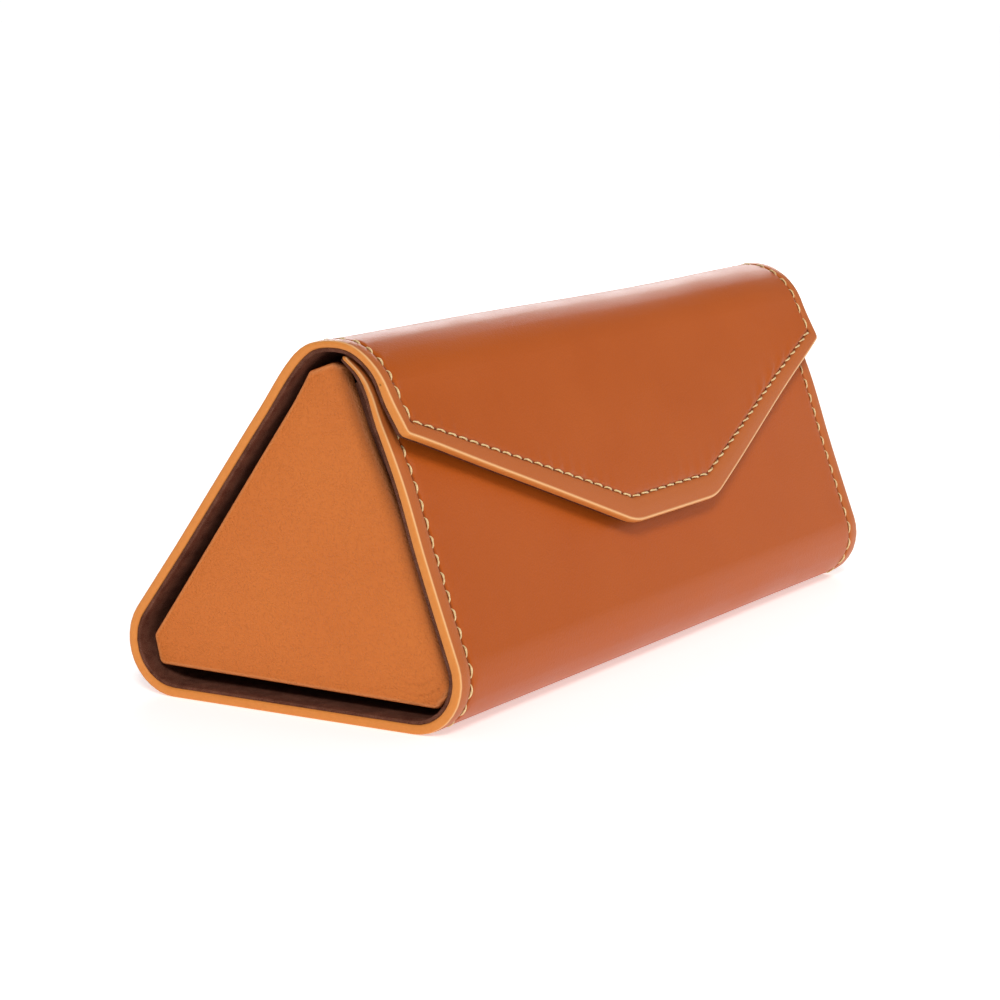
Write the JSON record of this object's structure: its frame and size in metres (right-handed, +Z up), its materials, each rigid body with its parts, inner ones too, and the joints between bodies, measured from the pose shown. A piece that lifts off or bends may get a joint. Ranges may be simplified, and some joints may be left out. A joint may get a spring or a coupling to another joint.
{
  "type": "folding eyeglasses case",
  "caption": "Triangular folding eyeglasses case of stitched leather, with a magnetic trapezoid flap, soft folds for hinges and inset end panels that fold inwards.",
  "frame": {"origin": "middle of the case's box, on the surface it stands on", "axes": "+X along the case to its right end, -Y to the front where the flap closes, +Z up"},
  "size_m": [0.164, 0.071, 0.0682],
  "materials": {
    "tan_leather": "smooth semi-gloss tan calf leather with burnished edges",
    "end_leather": "matte tan leather with a fine pebble grain",
    "brown_suede": "dark brown short-nap suede microfibre",
    "grey_board": "plain grey board, covered all over",
    "cream_thread": "cream twisted thread",
    "magnet_steel": "plated magnet disc, covered all over"
  },
  "bodies": {
    "base": {"bottom_cover": "tan_leather", "bottom_board": "grey_board", "bottom_lining": "brown_suede", "bottom_stitching": "cream_thread", "front_fold_leather": "tan_leather", "front_fold_lining": "brown_suede", "front_fold_stitching": "cream_thread", "back_fold_leather": "tan_leather", "back_fold_lining": "brown_suede", "back_fold_stitching": "cream_thread"},
    "back_wall": {"back_cover": "tan_leather", "back_board": "grey_board", "back_lining": "brown_suede", "back_stitching": "cream_thread", "ridge_leather": "tan_leather", "ridge_lining": "brown_suede", "ridge_stitching": "cream_thread"},
    "flap": {"flap_cover": "tan_leather", "flap_board": "grey_board", "flap_lining": "brown_suede", "flap_stitching": "cream_thread", "flap_magnet_left": "magnet_steel", "flap_magnet_right": "magnet_steel"},
    "front_wall": {"front_cover": "tan_leather", "front_board": "grey_board", "front_lining": "brown_suede", "front_stitching": "cream_thread", "front_magnet_left": "magnet_steel", "front_magnet_right": "magnet_steel", "end_left_hinge": "end_leather", "end_right_hinge": "end_leather"},
    "end_left": {"end_left_cover": "end_leather", "end_left_board": "grey_board", "end_left_lining": "brown_suede"},
    "end_right": {"end_right_cover": "end_leather", "end_right_board": "grey_board", "end_right_lining": "brown_suede"}
  },
  "joints": [
    {"name": "back_wall_hinge", "type": "hinge", "parent": "base", "child": "back_wall", "pos_m": [0, 0.03338, 0.00603], "axis": [-1, 0, 0], "range_deg": [0, 32], "deforming": ["back_fold_leather", "back_fold_lining", "back_fold_stitching"]},
    {"name": "flap_hinge", "type": "hinge", "parent": "back_wall", "child": "flap", "pos_m": [0, -0.0073, 0.0663], "axis": [-1, 0, 0], "range_deg": [0, 175], "deforming": ["ridge_leather", "ridge_lining", "ridge_stitching"]},
    {"name": "front_wall_hinge", "type": "hinge", "parent": "base", "child": "front_wall", "pos_m": [0, -0.03279, 0.00495], "axis": [1, 0, 0], "range_deg": [0, 28], "deforming": ["front_fold_leather", "front_fold_lining", "front_fold_stitching"]},
    {"name": "end_left_fold", "type": "hinge", "parent": "front_wall", "child": "end_left", "pos_m": [-0.0772, -0.02343, 0.03327], "axis": [0, -0.3597, -0.9331], "range_deg": [0, 88], "deforming": ["end_left_hinge"]},
    {"name": "end_right_fold", "type": "hinge", "parent": "front_wall", "child": "end_right", "pos_m": [0.0772, -0.02343, 0.03327], "axis": [0, 0.3597, 0.9331], "range_deg": [0, 88], "deforming": ["end_right_hinge"]}
  ],
  "couplings": [
    {"joint": "front_wall_hinge", "follows": "flap_hinge", "ratio": 0.16},
    {"joint": "back_wall_hinge", "follows": "flap_hinge", "ratio": 0.1828}
  ]
}
